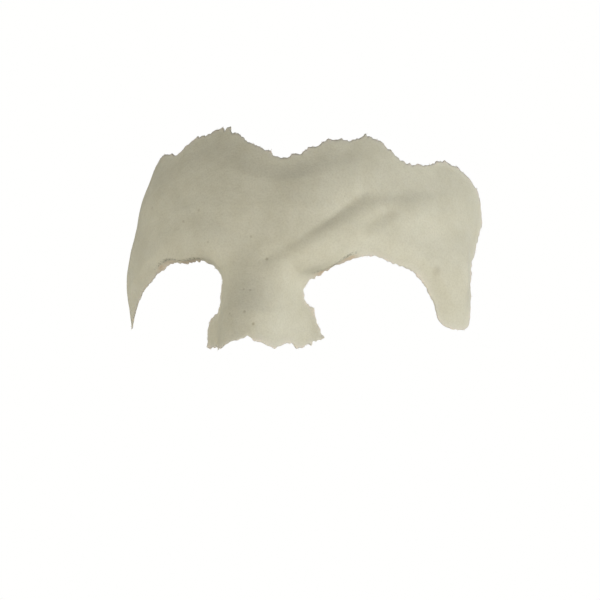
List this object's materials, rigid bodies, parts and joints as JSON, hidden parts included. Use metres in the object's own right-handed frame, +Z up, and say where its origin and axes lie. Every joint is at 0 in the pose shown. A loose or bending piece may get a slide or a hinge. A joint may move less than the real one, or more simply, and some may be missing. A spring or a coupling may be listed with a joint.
{
  "type": "forehead prosthetic",
  "caption": "Thin foam moulding glued over the forehead, brows and bridge of the nose, with heavy brow ridges, frown creases, tails beside the eyes and a torn feather edge.",
  "frame": {"origin": "on the skin side, on the midline between the brows, where the moulding is glued on first", "axes": "+Z up the forehead, -Y the way the wearer looks, +X the wearer's left"},
  "size_m": [0.1263, 0.0673, 0.0796],
  "materials": {
    "foam": "matt, unpainted ivory foam latex"
  },
  "bodies": {
    "root": {"forehead_prosthetic": "foam"}
  },
  "joints": []
}
